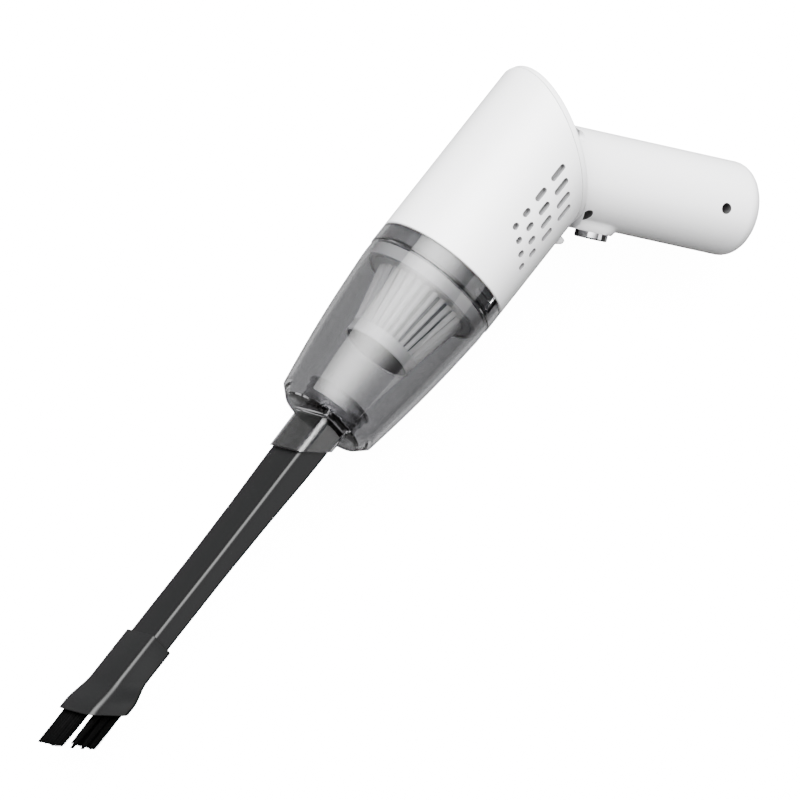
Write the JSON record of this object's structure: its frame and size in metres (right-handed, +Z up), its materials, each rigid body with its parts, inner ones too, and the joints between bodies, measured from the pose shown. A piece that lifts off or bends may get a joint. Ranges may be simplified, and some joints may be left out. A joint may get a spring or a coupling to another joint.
{
  "type": "handheld vacuum",
  "caption": "Cordless handheld vacuum: white tube body, swivelling battery handle, smoky dust cup with pleated filter, crevice tool and brush.",
  "frame": {"origin": "middle of the underside of the bounding box, on the surface that the vacuum lies on", "axes": "+X along the body axis towards the nozzle, +Y towards the side the handle turns to, +Z up, square to the symmetry plane"},
  "size_m": [0.4196, 0.1416, 0.065],
  "materials": {
    "white_shell": "satin white injection-moulded plastic",
    "smoky_clear": "smoke-tinted clear polycarbonate",
    "black_nozzle": "satin black plastic",
    "black_bristle": "black nylon bristles",
    "chrome": "bright chrome plate",
    "steel": "plain steel",
    "grey_plastic": "dark grey plastic",
    "rotor_steel": "rotor magnet",
    "pale_plastic": "pale grey plastic",
    "filter_paper": "pleated filter paper",
    "rubber": "black rubber",
    "foam": "black open-cell foam",
    "copper_winding": "enamelled copper wire",
    "circuit_board": "green solder mask",
    "cell_wrap": "plastic-wrapped lithium cell"
  },
  "bodies": {
    "body": {"body_shell": "white_shell", "rear_cover": "grey_plastic", "exhaust_foam": "foam", "motor_can": "steel", "stator_winding": "copper_winding", "bearing_front": "steel", "bearing_rear": "steel", "motor_bracket": "grey_plastic", "motor_damper": "rubber", "fan_shroud": "grey_plastic", "cup_mount": "grey_plastic", "motor_lead": "rubber"},
    "rotor": {"motor_shaft": "steel", "rotor_magnet": "rotor_steel", "impeller": "pale_plastic"},
    "latch": {"swivel_latch": "white_shell"},
    "handle": {"handle_shell_upper": "white_shell", "handle_shell_lower": "white_shell", "handle_screw_1": "steel", "handle_screw_2": "steel", "handle_screw_3": "steel", "swivel_hub": "steel", "swivel_retainer": "steel", "battery_cell_1": "cell_wrap", "battery_cell_2": "cell_wrap", "battery_holder": "grey_plastic", "circuit_board": "circuit_board", "power_switch": "grey_plastic", "charging_port": "steel", "handle_lead": "rubber"},
    "button": {"power_button": "chrome"},
    "seal": {"cup_seal": "rubber"},
    "cup": {"dust_cup": "smoky_clear", "inlet_duct": "smoky_clear"},
    "filter": {"filter_frame": "pale_plastic", "filter_pleats": "filter_paper", "filter_seal": "rubber"},
    "tool": {"crevice_tool": "black_nozzle"},
    "brush": {"brush_sleeve": "black_nozzle", "brush_bristles": "black_bristle"}
  },
  "joints": [
    {"name": "handle_swivel", "type": "hinge", "parent": "body", "child": "handle", "pos_m": [-0.14574, -0.03827, 0.0325], "axis": [-0.866, 0.5, 0], "range_deg": [0, 180]},
    {"name": "button_press", "type": "slide", "parent": "handle", "child": "button", "axis": [-0.866, -0.5, 0], "range_m": [0, 0.0012], "stiffness_N_per_m": 800, "springref_m": -0.0006},
    {"name": "latch_slide", "type": "slide", "parent": "body", "child": "latch", "axis": [1, 0, 0], "range_m": [0, 0.0025], "stiffness_N_per_m": 300, "springref_m": -0.001},
    {"name": "rotor_spin", "type": "hinge", "parent": "body", "child": "rotor", "pos_m": [-0.11574, -0.03827, 0.0325], "axis": [1, 0, 0], "continuous": true},
    {"name": "cup_twist", "type": "hinge", "parent": "body", "child": "seal", "pos_m": [-0.06574, -0.03827, 0.0325], "axis": [1, 0, 0], "range_deg": [-20, 0]},
    {"name": "cup_pull", "type": "slide", "parent": "seal", "child": "cup", "axis": [1, 0, 0], "range_m": [0, 0.12]},
    {"name": "filter_pull", "type": "slide", "parent": "body", "child": "filter", "axis": [1, 0, 0], "range_m": [0, 0.048]},
    {"name": "tool_pull", "type": "slide", "parent": "cup", "child": "tool", "axis": [1, 0, 0], "range_m": [0, 0.03]},
    {"name": "brush_pull", "type": "slide", "parent": "tool", "child": "brush", "axis": [1, 0, 0], "range_m": [0, 0.03]}
  ],
  "couplings": [
    {"joint": "filter_pull", "follows": "cup_pull", "ratio": 0.4}
  ]
}
